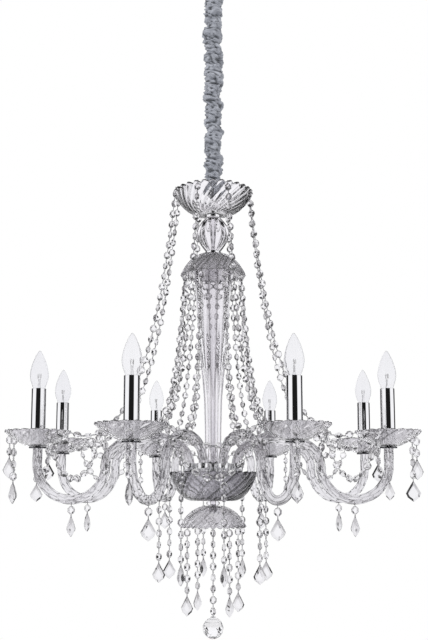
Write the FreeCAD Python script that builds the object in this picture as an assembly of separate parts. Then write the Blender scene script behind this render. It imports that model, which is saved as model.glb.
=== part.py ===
import FreeCAD, Part
import math
import os

# An eight-light crystal chandelier, hung from its ceiling plate. Millimetres, +Z up.
# The origin is on the ceiling, in the middle of the crossbar. Arms stand an eighth of a turn apart.

vector = FreeCAD.Vector
up = vector(0, 0, 1)

# Fits
seat_gap = 0.3            # between pieces that stand or hang on each other
bore_gap = 0.4            # round a rod or stud in its hole

# Ceiling plate
canopy_radius = 60.0
canopy_depth = 52.0
canopy_wall = 1.2
canopy_lip = 5.0
canopy_neck_radius = 15.0
crossbar_length = 96.0
crossbar_width = 18.0
crossbar_thickness = 3.0
screw_spacing = 70.0
screw_hole = 4.6
nipple_radius = 5.0

# Loops and chain
loop_radius = 11.0        # to the middle of the wire, as are all link sizes
loop_wire = 2.25          # radius of the wire
loop_nut_radius = 12.0
loop_nut_height = 9.0
link_radius = 8.2
link_straight = 14.0
link_wire = 1.75
link_count = 18

# Gathered sleeve over the chain
sleeve_radius = 16.8
sleeve_crush = 2.6
sleeve_bunch = 23.0       # height of one gathered bunch
sleeve_bore = 11.4
sleeve_end_gap = 3.0

# Stem: what is threaded on the rod, from the crown down
rod_radius = 4.5
crown_radius = 80.0
crown_height = 46.0
crown_foot = 26.0
crown_opening = 70.0      # degrees of the arc that each dish's side follows
collar_radius = 16.0
upper_collar_height = 8.0
lower_collar_height = 6.0
knop_radius = 33.0
knop_end_radius = 15.0
knop_height = 70.0
umbrella_radius = 64.0
umbrella_height = 43.0
umbrella_foot = 20.0
umbrella_opening = 75.0
column_height = 420.0
column_top_radius = 38.5
column_foot_radius = 17.0
column_wall = 4.0
column_shoulder = 32.0    # height of the closing shoulder at the column's top
column_flare = 1.3        # power of the height by which the column widens
bowl_radius = 85.0
bowl_height = 55.0
bowl_foot = 38.0
bowl_opening = 85.0
bowl_rim_drop = 1.0       # the bowl's rim under the hub plate's upper face
neck_radius = 14.0
neck_height = 9.0
skirt_radius = 63.0
skirt_height = 40.0
skirt_foot = 18.0
skirt_opening = 80.0
finial_radius = 11.0
finial_height = 16.0

# Pressed glass
glass_wall = 5.0
bobeche_wall = 4.0
rib_depth = 1.6
rib_count = 14
dish_twist = 38.0         # degrees that a rib turns from foot to rim
dish_steps = 3            # rings of facets from foot to rim

# Hub
hub_radius = 61.0
hub_thickness = 5.0
socket_circle = 50.0
socket_radius = 13.0
socket_height = 17.0

# Arms
arm_count = 8
first_arm = 22.5          # degrees
arm_circle = 350.0        # axis to each candle
arm_tube = 9.0
arm_bend = 65.0           # radius of the low bend
arm_neck = 30.0           # straight drop under the candle
arm_crest_circle = 130.0
arm_crest_rise = 57.0     # crest over the ends of the low bend
arm_low_drop = 53.0       # middle of the low bend's tube under the hub plate's upper face
arm_stations = 22
arm_lobes = 6
arm_lobe_turn = 30.0      # degrees that the rope-twisted glass turns per station

# Candles
bobeche_radius = 61.0
bobeche_height = 28.0
bobeche_foot = 17.0
bobeche_opening = 40.0
bobeche_ribs = 10
bobeche_steps = 2
cup_radius = 16.0
cup_thickness = 3.0
cup_cover = 1.0           # how far the disc under a bobeche reaches down over the arm's end
stud_radius = 5.0
tube_radius = 13.5
tube_wall = 0.9
tube_height = 103.0
holder_radius = 11.0
holder_recess = 8.0       # top of the lamp holder under the top of its tube
bulb_radius = 17.5
bulb_height = 72.0        # glass that stands over the tube
bulb_cap_radius = 7.0
bulb_cap_height = 25.0

# Crystals
bead_pitch = 21.5
bead_half_width = 7.0
bead_half_thickness = 4.0
kite_height = 38.0
kite_half_width = 13.5
kite_half_thickness = 6.0
ball_radius = 20.5
swag_slack = 1.14         # length of a swag over the straight way between its pins
deep_swag_slack = 1.6
deep_swag_turn = 16.0     # degrees round the rim between a shallow swag's pin and a deep one's
crown_slack = 1.09
mid_slack = 1.02
rim_drop_turn = 25.0      # degrees either side of the outward way
rim_drop_share = 0.86     # where the drop's hole is, of the bobeche's radius
outer_string_circle = 105.0
outer_string_length = 285.0
inner_string_length = 168.0
inner_string_count = 4
inner_string_turn = 32.0  # degrees
ball_string_length = 193.0
pin_drop = 1.5            # pins are this far under a rim's edge
first_bead_lean = 0.66    # radians that the bead hooked on an arm leans out
short_drop_count = 2      # beads over the kite in the drops at a bobeche's outer side
long_drop_count = 4
bend_drop_count = 1       # and under an arm's low bend
bead_turn = 50.0          # degrees from each bead to the next on their pins
bead_widest = 0.5         # where a crystal is widest, as a share of its height
kite_widest = 0.62

# Facets
round_sides = 24          # sides of the larger turned pieces
stem_sides = 12
socket_sides = 8
wire_sides = 4
link_stations = 8
loop_stations = 12
ball_rows = 7

# Heights that follow
collar_z = -canopy_depth
top_loop_z = collar_z - loop_nut_height - loop_radius - loop_wire
first_wire_z = top_loop_z - loop_radius
link_length = link_straight + 2 * link_radius
link_pitch = link_length - 2 * link_wire - seat_gap
first_link_top_z = first_wire_z + loop_wire + link_wire + seat_gap
last_wire_z = first_link_top_z - (link_count - 1) * link_pitch - link_length
crown_loop_z = last_wire_z + link_wire + loop_wire + seat_gap - loop_radius
crown_seat_z = crown_loop_z - loop_radius - loop_wire - loop_nut_height
crown_z = crown_seat_z - glass_wall - seat_gap
upper_collar_z = crown_z - upper_collar_height - seat_gap
knop_z = upper_collar_z - knop_height - seat_gap
lower_collar_z = knop_z - lower_collar_height - seat_gap
umbrella_z = lower_collar_z - seat_gap
column_top_z = umbrella_z - glass_wall - seat_gap
column_z = column_top_z - column_height
hub_top_z = column_z - seat_gap - socket_height
hub_z = hub_top_z - hub_thickness
bowl_rim_z = hub_top_z - bowl_rim_drop
bowl_z = bowl_rim_z - bowl_height
neck_z = bowl_z - seat_gap - neck_height
skirt_z = neck_z - seat_gap
finial_top_z = skirt_z - glass_wall - seat_gap
finial_z = finial_top_z - finial_height
arm_low_z = hub_top_z - arm_low_drop
arm_bend_z = arm_low_z + arm_bend
arm_top_z = arm_bend_z + arm_neck
bobeche_z = arm_top_z + cup_thickness - cup_cover + seat_gap
tube_z = bobeche_z + bobeche_wall + seat_gap
tube_top_z = tube_z + tube_height
arm_angles = [first_arm + 360.0 / arm_count * k for k in range(arm_count)]


def polar(radius, degrees, z):
    """A point at a radius and an angle about the axis."""
    turn = math.radians(degrees)
    return vector(radius * math.cos(turn), radius * math.sin(turn), z)


def flat_face(points):
    return Part.Face(Part.makePolygon(points + [points[0]]))


def facets(points):
    """A face through three or four points: one flat face, or two triangles where the four aren't flat."""
    if len(points) == 4:
        normal = (points[1] - points[0]).cross(points[3] - points[0])
        if abs(normal.dot(points[2] - points[0])) > 1e-6 * max(normal.Length, 1e-9):
            first, second, third, fourth = points
            return [flat_face([first, second, third]), flat_face([first, third, fourth])]
    return [flat_face(points)]


def skin(rings, closed=False):
    """A faceted loft through rings of points. Its ends are flat or tips, or it closes on its first ring."""
    faces = []
    for low, high in zip(rings, rings[1:] + (rings[:1] if closed else [])):
        count = max(len(low), len(high))
        for k in range(count):
            after = (k + 1) % count
            if len(low) == 1:
                corners = [low[0], high[after], high[k]]
            elif len(high) == 1:
                corners = [low[k], low[after], high[0]]
            else:
                corners = [low[k], low[after], high[after], high[k]]
            faces += facets(corners)
    if not closed:
        faces += [flat_face(ring) for ring in (rings[0], rings[-1]) if len(ring) > 1]
    solid = Part.Solid(Part.Shell(faces))
    if solid.Volume < 0:
        solid.reverse()
    return solid


def clear(radius, sides):
    """The corner radius of a many-sided hole whose flats lie at a radius."""
    return radius / math.cos(math.pi / sides)


def circle_ring(radius, z, sides, depth=0.0, turn=0.0):
    """A ring about the axis with every second corner pushed out and the others drawn in."""
    return [polar(radius + (depth if k % 2 == 0 else -depth), turn + 360.0 * k / sides, z)
            for k in range(sides)]


def turned(profile, sides, closed=False):
    """A piece turned about the axis, from (radius, height) pairs. A closed profile has a bore."""
    rings = [circle_ring(r, z, sides) if r > 0 else [vector(0, 0, z)] for r, z in profile]
    return skin(rings, closed)


def at(shape, place, degrees=0.0):
    """The shape turned about its own Z, then moved to a place."""
    moved = shape.copy()
    moved.rotate(vector(), up, degrees)
    moved.translate(place)
    return moved


def write(name, shape):
    shape.exportStep(os.path.join("parts", name + ".step"))
    print(name, len(shape.Solids), len(shape.Faces))


def write_all(name, shapes):
    write(name, Part.makeCompound(shapes))


# Glass pressed with twisted ribs

def dish(rim, height, foot, bore, wall, ribs, opening, steps, turn=0.0):
    """An upright dish with its foot at z = 0, its side an arc that opens by so many degrees.

    Ribs run out from the foot, turn as they climb and end as scallops in the rim. The inside is plain.
    """
    sides = 2 * ribs
    full = math.radians(opening)
    outside = []
    inside = []
    for k in range(steps + 1):
        share = k / steps
        angle = full * share
        radius = foot + (rim - foot) * math.sin(angle) / math.sin(full)
        z = height * (1 - math.cos(angle)) / (1 - math.cos(full))
        slope = math.atan2(height * math.sin(angle) / (1 - math.cos(full)),
                           (rim - foot) * math.cos(angle) / math.sin(full))
        spin = turn + dish_twist * (share - 1)
        depth = rib_depth * share
        ring = []
        for j in range(sides):
            bump = depth if j % 2 == 0 else -depth
            ring.append(polar(radius + bump * math.sin(slope) + bump * share, spin + 360.0 * j / sides,
                              z - bump * math.cos(slope)))
        outside.append(ring)
        if k in (0, steps) or k == steps - 1 > 1:
            inner_radius = radius - wall * math.sin(slope)
            inside.append(circle_ring(inner_radius, z + wall * math.cos(slope), sides, 0.0, spin))
    floor = circle_ring(bore, 0.0, sides, 0.0, turn - dish_twist)
    top = circle_ring(bore, wall, sides, 0.0, turn - dish_twist)
    return skin([floor] + outside + inside[::-1] + [top], closed=True)


def upside_down(shape):
    turned_over = shape.copy()
    turned_over.rotate(vector(), vector(1, 0, 0), 180)
    return turned_over


def rib_turn(ribs, angle):
    """The turn, within one rib, that puts a rib's peak at an angle."""
    return angle % (360.0 / ribs)


# Ceiling plate, loops and chain

def crossbar():
    bar = Part.makeBox(crossbar_length, crossbar_width, crossbar_thickness,
                       vector(-crossbar_length / 2, -crossbar_width / 2, -crossbar_thickness))
    for x, radius in ((-screw_spacing / 2, screw_hole / 2), (screw_spacing / 2, screw_hole / 2),
                      (0, nipple_radius + bore_gap)):
        bar = bar.cut(Part.makeCylinder(radius, 3 * crossbar_thickness, vector(x, 0, -2 * crossbar_thickness)))
    return bar


def canopy():
    """A spun cup: a straight lip on the ceiling, a full shoulder, then a narrow neck with a hole."""
    shoulder = [(canopy_radius, 0.0), (canopy_radius, -canopy_lip)]
    reach = canopy_radius - canopy_neck_radius
    for share in (0.3, 0.6, 0.85, 1.0):
        bulge = math.sin(math.pi / 2 * share)
        drop = 1 - math.cos(math.pi / 2 * share)
        shoulder.append((canopy_radius - reach * drop, -canopy_lip - (canopy_depth - canopy_lip) * bulge))
    bore = nipple_radius + bore_gap
    inside = [(max(r - canopy_wall, bore), min(z + canopy_wall, 0.0)) for r, z in shoulder[1:]]
    inside = [(canopy_radius - canopy_wall, 0.0)] + inside
    neck = [(bore, -canopy_depth), (bore, -canopy_depth + canopy_wall)]
    return turned(shoulder + neck + inside[::-1], round_sides, closed=True)


def link(straight, radius, wire, stations):
    """A closed link in the XZ plane, hanging from z = 0, the middle of its top wire."""
    path = []
    half = stations // 2
    for k in range(half + 1):
        angle = math.pi * k / half
        path.append((radius * math.cos(angle), radius * math.sin(angle), angle))
    for k in range(half + 1):
        angle = math.pi + math.pi * k / half
        path.append((radius * math.cos(angle), radius * math.sin(angle) - straight, angle))
    if straight == 0:
        path = path[:half] + path[half + 1:-1]
    rings = []
    for x, z, angle in path:
        out = vector(math.cos(angle), 0, math.sin(angle))
        rings.append([vector(x, 0, z - radius) + out * wire * math.cos(q) + vector(0, wire * math.sin(q), 0)
                      for q in (2 * math.pi * k / wire_sides for k in range(wire_sides))])
    return skin(rings, closed=True)


def nut_and_loop(flip):
    """A nut with a loop under it, the loop's middle at z = 0, or the other way up."""
    loop = link(0.0, loop_radius, loop_wire, loop_stations)
    loop.translate(vector(0, 0, loop_radius))
    low = loop_radius + loop_wire / 2
    nut = turned([(nipple_radius, low), (loop_nut_radius, low + loop_wire / 2),
                  (loop_nut_radius, low + loop_wire / 2 + loop_nut_height)], stem_sides)
    both = nut.fuse(loop)
    return upside_down(both) if flip else both


def nipple():
    length = canopy_depth - seat_gap
    return at(turned([(nipple_radius, 0.0), (nipple_radius, length)], stem_sides), vector(0, 0, -length))


def chain(first, last):
    """Links from one index to another. Each stands a quarter turn from the one above."""
    one = link(link_straight, link_radius, link_wire, link_stations)
    return [at(one, vector(0, 0, first_link_top_z - k * link_pitch), 90.0 if k % 2 == 0 else 0.0)
            for k in range(first, last)]


def sleeve():
    """Cloth gathered on the chain: bunches that swell and pinch unevenly, with folds that wander round."""
    top = first_link_top_z - link_pitch - link_radius - sleeve_end_gap
    bottom = crown_loop_z + loop_radius + loop_wire + sleeve_end_gap
    steps = 2 * max(round((top - bottom) / sleeve_bunch), 3)
    sides = 10
    outside = []
    for k in range(steps + 1):
        z = top - (top - bottom) * k / steps
        swell = sleeve_crush if k % 2 else -0.6 * sleeve_crush
        ring = []
        for j in range(sides):
            around = 2 * math.pi * j / sides
            fold = 0.5 * math.sin(3 * around + 1.7 * k) + 0.5 * math.sin(2 * around - 0.9 * k * k)
            radius = sleeve_radius + swell + 0.55 * sleeve_crush * fold
            sway = 0.5 * sleeve_crush * math.sin(math.pi * k / steps) * math.sin(1.1 * k)
            ring.append(vector(radius * math.cos(around) + sway, radius * math.sin(around), z))
        outside.append(ring)
    inside = [circle_ring(sleeve_bore, z, sides) for z in (bottom, top)]
    return skin(outside + inside, closed=True)


# Stem

def ribbed(profile, wall, ribs, bore):
    """Turned glass with straight ribs, hollow by its wall and drawn in to the bore at both ends."""
    sides = 2 * ribs
    outside = [circle_ring(r, z, sides, rib_depth) for r, z in profile]
    hollow = [circle_ring(max(r - rib_depth - wall, bore), z, sides) for r, z in profile[::2]]
    return skin(outside + hollow[::-1], closed=True)


def knop():
    """A glass ball that is fullest in its upper half."""
    shares = ((0.0, 0.0), (0.12, 0.35), (0.3, 0.78), (0.52, 1.0), (0.75, 0.85), (0.92, 0.4), (1.0, 0.0))
    profile = [(knop_end_radius + (knop_radius - knop_end_radius) * swell, knop_height * rise)
               for rise, swell in shares]
    return ribbed(profile, column_wall, rib_count // 2 + 2, rod_radius + bore_gap)


def column():
    """A tall tulip: narrow foot, flaring side, and a shoulder that closes under the umbrella dish."""
    side_height = column_height - column_shoulder
    profile = []
    for k in range(6):
        share = k / 5
        profile.append((column_foot_radius + (column_top_radius - column_foot_radius) * share ** column_flare,
                        side_height * share))
    profile.append((0.86 * column_top_radius, side_height + 0.6 * column_shoulder))
    profile.append((collar_radius, column_height))
    return ribbed(profile, column_wall, rib_count, rod_radius + bore_gap)


def washer(outer, height, sides=stem_sides):
    bore = clear(rod_radius + bore_gap, sides)
    return turned([(bore, 0), (outer, 0), (outer, height), (bore, height)], sides, closed=True)


def rounded_spacer(radius, height):
    bore = rod_radius + bore_gap
    edge = 0.7 * radius
    profile = [(bore, 0), (edge, 0), (radius, height / 2), (edge, height), (bore, height)]
    return turned(profile, stem_sides, closed=True)


def hub():
    """A plate, a boss under the column, a spacer down to the bowl's foot, and a cup for each arm."""
    socket_bore = clear(arm_tube + bore_gap, socket_sides)
    cup = turned([(socket_bore, 0), (socket_radius, 0), (socket_radius, socket_height),
                  (socket_bore, socket_height)], socket_sides, closed=True)
    cups = [at(cup, polar(socket_circle, angle, hub_top_z)) for angle in arm_angles]
    plate = at(washer(hub_radius, hub_thickness, round_sides), vector(0, 0, hub_z))
    boss = at(washer(column_foot_radius, socket_height), vector(0, 0, hub_top_z))
    spacer_foot_z = bowl_z + glass_wall + seat_gap
    spacer = at(washer(collar_radius, hub_z - spacer_foot_z), vector(0, 0, spacer_foot_z))
    return [plate, boss, spacer] + cups


def finial():
    """The nut that holds the stack, a turned drop with a small knob for the middle string."""
    knob = 0.35 * finial_radius
    profile = [(knob, 0), (finial_radius, 0.45 * finial_height), (0.8 * finial_radius, finial_height)]
    return turned(profile, stem_sides)


# Arms

def arm_path():
    """Points in the plane of an arm, (radius, z), from the candle to the hub.

    A straight neck, a half circle below, then two quarters of ellipses that meet at the crest.
    """
    crest_z = arm_bend_z + arm_crest_rise
    straight_z = hub_top_z + socket_height + 2 * seat_gap
    fine = 24
    points = [(arm_circle, arm_top_z)]
    for k in range(fine + 1):
        angle = math.pi * k / fine
        points.append((arm_circle - arm_bend + arm_bend * math.cos(angle),
                       arm_bend_z - arm_bend * math.sin(angle)))
    bend_end = arm_circle - 2 * arm_bend
    for k in range(1, fine + 1):
        angle = math.pi / 2 * k / fine
        points.append((arm_crest_circle + (bend_end - arm_crest_circle) * math.cos(angle),
                       arm_bend_z + arm_crest_rise * math.sin(angle)))
    for k in range(1, fine + 1):
        angle = math.pi / 2 * k / fine
        points.append((arm_crest_circle - (arm_crest_circle - socket_circle) * math.sin(angle),
                       straight_z + (crest_z - straight_z) * math.cos(angle)))
    return points


def evenly(points, count):
    """The same path cut into equal lengths."""
    lengths = [0.0]
    for a, b in zip(points, points[1:]):
        lengths.append(lengths[-1] + math.dist(a, b))
    result = []
    k = 0
    for step in range(count + 1):
        goal = lengths[-1] * step / count
        while k < len(points) - 2 and lengths[k + 1] < goal:
            k += 1
        share = (goal - lengths[k]) / (lengths[k + 1] - lengths[k])
        result.append(tuple(p + (q - p) * share for p, q in zip(points[k], points[k + 1])))
    return result


def arm_line():
    """Stations along an arm and the upward normal of its plane curve at each."""
    points = evenly(arm_path(), arm_stations - 1) + [(socket_circle, hub_top_z + seat_gap)]
    line = []
    for k, (r, z) in enumerate(points):
        before = points[max(k - 1, 0)]
        after = points[min(k + 1, arm_stations)]
        if k == 0 or k >= arm_stations - 1:
            run = (0.0, after[1] - before[1])
        else:
            run = (after[0] - before[0], after[1] - before[1])
        size = math.hypot(*run)
        line.append(((r, z), (run[1] / size, -run[0] / size)))
    return line


def arm():
    """A lobed glass rope that turns as it follows the arm."""
    rings = []
    for k, ((r, z), (nr, nz)) in enumerate(arm_line()):
        ring = []
        for lobe in range(arm_lobes):
            angle = math.radians(360.0 / arm_lobes * lobe + arm_lobe_turn * k)
            out = arm_tube * math.cos(angle)
            ring.append(vector(r + nr * out, arm_tube * math.sin(angle), z + nz * out))
        rings.append(ring)
    return skin(rings)


# Candles

def arm_cup():
    """A disc over the arm's end, with a stud up through the bobeche. z = 0 is the arm's end."""
    bore = clear(arm_tube + bore_gap, socket_sides)
    disc_top = cup_thickness - cup_cover
    return turned([(0, seat_gap), (bore, seat_gap), (bore, -cup_cover), (cup_radius, -cup_cover),
                   (cup_radius, disc_top), (stud_radius, disc_top), (stud_radius, disc_top + bobeche_wall),
                   (0, disc_top + bobeche_wall)], socket_sides)


def candle_tube():
    bore = tube_radius - tube_wall
    profile = [(bore, 0), (tube_radius, 0), (tube_radius, tube_height), (bore, tube_height)]
    return turned(profile, stem_sides, closed=True)


def lamp_holder():
    height = tube_height - holder_recess
    pocket = clear(bulb_cap_radius + bore_gap, socket_sides)
    depth = bulb_cap_height + seat_gap
    return turned([(0, seat_gap), (holder_radius, seat_gap), (holder_radius, height), (pocket, height),
                   (pocket, height - depth), (0, height - depth)], socket_sides)


def bulb():
    """A candle bulb, z = 0 at the top of its tube: screw cap, neck, full belly and a drawn tip."""
    cap_top = seat_gap - holder_recess
    belly = 0.31 * bulb_height
    cap_foot = cap_top - bulb_cap_height + seat_gap
    return turned([(0, cap_foot), (bulb_cap_radius, cap_foot),
                   (bulb_cap_radius, cap_top), (0.6 * bulb_radius, 0.08 * bulb_height),
                   (bulb_radius, belly), (0.72 * bulb_radius, 0.62 * bulb_height),
                   (0.2 * bulb_radius, 0.93 * bulb_height), (0, bulb_height)], socket_sides)


# Crystals

def crystal(top, bottom, widest, half_width, half_thickness, turn=0.0):
    """A cut crystal between two points: four corners round its widest place, and a tip at each end."""
    way = bottom - top
    length = way.Length
    way = way / length
    side = way.cross(up) if way.cross(up).Length > 0.05 else way.cross(vector(0, 1, 0))
    side.normalize()
    side = FreeCAD.Rotation(way, turn).multVec(side)
    front = way.cross(side)
    middle = top + way * length * widest
    ring = [middle + side * half_width, middle + front * half_thickness,
            middle - side * half_width, middle - front * half_thickness]
    return skin([[top], ring, [bottom]])


def beads(points):
    """A bead with its pin between each pair of points. The beads turn on their pins."""
    return [crystal(a, b, bead_widest, bead_half_width, bead_half_thickness, bead_turn * k)
            for k, (a, b) in enumerate(zip(points, points[1:]))]


def kite(top, turn):
    return crystal(top, top - up * kite_height, kite_widest, kite_half_width, kite_half_thickness, turn)


def hang(start, end, slack):
    """Points a bead apart on the catenary from one pin to another."""
    flat = vector(end.x - start.x, end.y - start.y, 0)
    span = flat.Length
    drop = end.z - start.z
    length = slack * (end - start).Length
    goal = math.sqrt(length ** 2 - drop ** 2) / span
    low, high = 1e-6, 12.0
    for _ in range(60):
        middle = (low + high) / 2
        if math.sinh(middle) / middle < goal:
            low = middle
        else:
            high = middle
    size = span / (2 * low)
    left = size * math.atanh(drop / length) - span / 2
    count = max(round(length / bead_pitch), 2)
    first = size * math.sinh(left / size)
    points = []
    for k in range(count + 1):
        x = size * math.asinh((first + length * k / count) / size)
        z = size * (math.cosh(x / size) - math.cosh(left / size))
        points.append(start + flat * ((x - left) / span) + up * z)
    return points


def plumb(start, length):
    """Points a bead apart straight down."""
    count = max(round(length / bead_pitch), 1)
    return [start - up * (length * k / count) for k in range(count + 1)]


def drop(start, bead_number, turn):
    """Some beads with a kite under them."""
    points = [start - up * bead_pitch * k for k in range(bead_number + 1)]
    return beads(points) + [kite(points[-1], turn)]


def seat(glass, start, way):
    """The point, short of the glass by the seat gap, where a straight line from a start first meets it."""
    inside = Part.makeLine(start, start + way * 2 * bobeche_radius).common(glass)
    touch = min((corner.Point - start).Length for corner in inside.Vertexes)
    return start + way * (touch - seat_gap)


def rim_pin(dish_solid, reach, degrees, rim_z):
    """A pin on the outside of a dish's rim, the dish standing about the axis."""
    away = polar(1, degrees, 0)
    return seat(dish_solid, away * (reach + pin_drop) + up * (rim_z - pin_drop), -away)


def hem_pin(dish_solid, reach, degrees, height):
    """A pin under the rim of a dish that hangs rim down, a little inside its edge."""
    return seat(dish_solid, polar(reach - glass_wall / 2 - rib_depth, degrees, -2 * height), up)


def bobeche_pin(bobeche, degrees, arm_angle):
    """A rim pin of one bobeche, turned and moved to its arm. The degrees are from the outward way."""
    pin = rim_pin(bobeche, bobeche_radius, degrees, bobeche_height)
    return on_arm(pin, arm_angle)


def on_arm(point, arm_angle):
    """A point by the bobeche's own middle, X outward, moved to its arm."""
    turned_point = FreeCAD.Rotation(up, arm_angle).multVec(point)
    return turned_point + polar(arm_circle, arm_angle, bobeche_z)


def crown_strands(crown_dish, bobeche):
    strands = []
    for angle in arm_angles:
        start = rim_pin(crown_dish, crown_radius, angle, crown_height) + up * crown_z
        strands += beads(hang(start, bobeche_pin(bobeche, 180, angle), crown_slack))
    return strands


def mid_strands(umbrella_dish, glass_arm):
    """From the umbrella dish's rim to the crests of the arms."""
    crest = seat(glass_arm, vector(arm_crest_circle, 0, arm_top_z + arm_bend), -up)
    strands = []
    for angle in arm_angles:
        start = hem_pin(umbrella_dish, umbrella_radius, angle, umbrella_height) + up * umbrella_z
        strands += beads(hang(start, polar(crest.x, angle, crest.z), mid_slack))
    return strands


def swags(bobeche):
    """A shallow and a deep string from each bobeche to the next, pinned where the two rims face each other."""
    strands = []
    facing = 90.0 + 180.0 / arm_count
    for lean, slack in ((facing, swag_slack), (facing - deep_swag_turn, deep_swag_slack)):
        for k, angle in enumerate(arm_angles):
            following = arm_angles[(k + 1) % arm_count]
            strands += beads(hang(bobeche_pin(bobeche, lean, angle), bobeche_pin(bobeche, -lean, following), slack))
    return strands


def rim_drops(bobeche, glass_arm):
    """A short and a longer drop at each bobeche's outer side, and one under each arm's low bend."""
    drops = []
    low = seat(glass_arm, vector(arm_circle - arm_bend, 0, arm_low_z - arm_bend), up)
    reach = rim_drop_share * bobeche_radius
    pins = [seat(bobeche, polar(reach, turn, -bobeche_height), up) for turn in (rim_drop_turn, -rim_drop_turn)]
    for angle in arm_angles:
        near, far = pins if math.cos(math.radians(angle)) > 0 else pins[::-1]
        drops += drop(on_arm(near, angle), short_drop_count, angle)
        drops += drop(on_arm(far, angle), long_drop_count, angle + 30)
        drops += drop(polar(low.x, angle, low.z), bend_drop_count, angle + 90)
    return drops


def lower_strings(skirt_dish, glass_arm):
    """Eight strings beside the arms, hooked on at their flanks, and four from the skirt dish's rim."""
    strings = []
    height = min(arm_line(), key=lambda s: abs(s[0][0] - outer_string_circle))[0][1]
    start = seat(glass_arm, vector(outer_string_circle, -2 * arm_tube, height), vector(0, 1, 0))
    aside = vector(0, -math.sin(first_bead_lean), -math.cos(first_bead_lean)) * bead_pitch
    points = [start] + plumb(start + aside, outer_string_length - kite_height - bead_pitch)
    for angle in arm_angles:
        turn = FreeCAD.Rotation(up, angle)
        placed = [turn.multVec(point) for point in points]
        strings += beads(placed) + [kite(placed[-1], angle)]
    for k in range(inner_string_count):
        angle = inner_string_turn + 360.0 / inner_string_count * k
        start = hem_pin(skirt_dish, skirt_radius, angle, skirt_height) + up * skirt_z
        points = plumb(start, inner_string_length - kite_height)
        strings += beads(points) + [kite(points[-1], angle)]
    return strings


def ball_string():
    return beads(plumb(vector(0, 0, finial_z - seat_gap), ball_string_length))


def ball():
    """A cut ball: rows of flat facets between two small tables."""
    profile = []
    for k in range(ball_rows + 1):
        angle = math.radians(-80 + 160 * k / ball_rows)
        profile.append((ball_radius * math.cos(angle), ball_radius * (math.sin(angle) - 1)))
    return turned(profile, stem_sides)


os.makedirs("parts", exist_ok=True)

write("mounting_crossbar", crossbar())
write("threaded_nipple", nipple())
write("ceiling_canopy", canopy())
write("collar_loop", at(nut_and_loop(False), vector(0, 0, top_loop_z)))
write_all("top_link", chain(0, 1))
write_all("chain_links", chain(1, link_count))
write("chain_sleeve", sleeve())

# the crown's loop stands a quarter turn from the last link
crown_loop_turn = 0.0 if (link_count - 1) % 2 == 0 else 90.0
write("crown_loop", at(nut_and_loop(True), vector(0, 0, crown_loop_z), crown_loop_turn))
rod_bore = clear(rod_radius + bore_gap, 2 * rib_count)
rod_top_z = crown_seat_z - seat_gap
rod_foot_z = finial_top_z + seat_gap
rod = turned([(rod_radius, 0), (rod_radius, rod_top_z - rod_foot_z)], stem_sides)
write("stem_rod", at(rod, vector(0, 0, rod_foot_z)))
crown = dish(crown_radius, crown_height, crown_foot, rod_bore, glass_wall, rib_count, crown_opening, dish_steps,
             rib_turn(rib_count, first_arm))
write("crown_dish", at(crown, vector(0, 0, crown_z)))
write_all("stem_collars", [
    at(washer(collar_radius, upper_collar_height), vector(0, 0, upper_collar_z)),
    at(washer(collar_radius, lower_collar_height), vector(0, 0, lower_collar_z))])
write("glass_knop", at(knop(), vector(0, 0, knop_z)))
umbrella = dish(umbrella_radius, umbrella_height, umbrella_foot, rod_bore, glass_wall, rib_count,
                umbrella_opening, dish_steps, rib_turn(rib_count, -first_arm))
umbrella = upside_down(umbrella)
write("umbrella_dish", at(umbrella, vector(0, 0, umbrella_z)))
write("glass_column", at(column(), vector(0, 0, column_z)))
write_all("arm_hub", hub())
bowl = dish(bowl_radius, bowl_height, bowl_foot, rod_bore, glass_wall, rib_count, bowl_opening, dish_steps)
write("hub_bowl", at(bowl, vector(0, 0, bowl_z)))
write("neck_ball", at(rounded_spacer(neck_radius, neck_height), vector(0, 0, neck_z)))
skirt = dish(skirt_radius, skirt_height, skirt_foot, rod_bore, glass_wall, rib_count, skirt_opening, dish_steps,
             rib_turn(rib_count, -inner_string_turn))
skirt = upside_down(skirt)
write("skirt_dish", at(skirt, vector(0, 0, skirt_z)))
write("bottom_finial", at(finial(), vector(0, 0, finial_z)))
write_all("ball_string", ball_string())
write("crystal_ball", at(ball(), vector(0, 0, finial_z - ball_string_length - 2 * seat_gap)))

one_arm = arm()
one_bobeche = dish(bobeche_radius, bobeche_height, bobeche_foot, stud_radius + bore_gap, bobeche_wall,
                   bobeche_ribs, bobeche_opening, bobeche_steps)
one_tube = candle_tube()
one_bulb = bulb()
for number, angle in enumerate(arm_angles, 1):
    write(f"arm_{number}", at(one_arm, vector(), angle))
    write(f"bobeche_{number}", at(one_bobeche, polar(arm_circle, angle, bobeche_z), angle))
    write(f"candle_tube_{number}", at(one_tube, polar(arm_circle, angle, tube_z), angle))
    write(f"bulb_{number}", at(one_bulb, polar(arm_circle, angle, tube_top_z), angle))
one_cup = arm_cup()
one_holder = lamp_holder()
write_all("arm_cups", [at(one_cup, polar(arm_circle, angle, arm_top_z), angle) for angle in arm_angles])
write_all("lamp_holders", [at(one_holder, polar(arm_circle, angle, tube_z), angle) for angle in arm_angles])

write_all("crown_strands", crown_strands(crown, one_bobeche))
write_all("mid_strands", mid_strands(umbrella, one_arm))
write_all("rim_swags", swags(one_bobeche))
write_all("rim_drops", rim_drops(one_bobeche, one_arm))
write_all("lower_strings", lower_strings(skirt, one_arm))
print("bobeches stand at", round(bobeche_z, 1), "and the ball ends at",
      round(finial_z - ball_string_length - 2 * seat_gap - 2 * ball_radius, 1))
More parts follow.
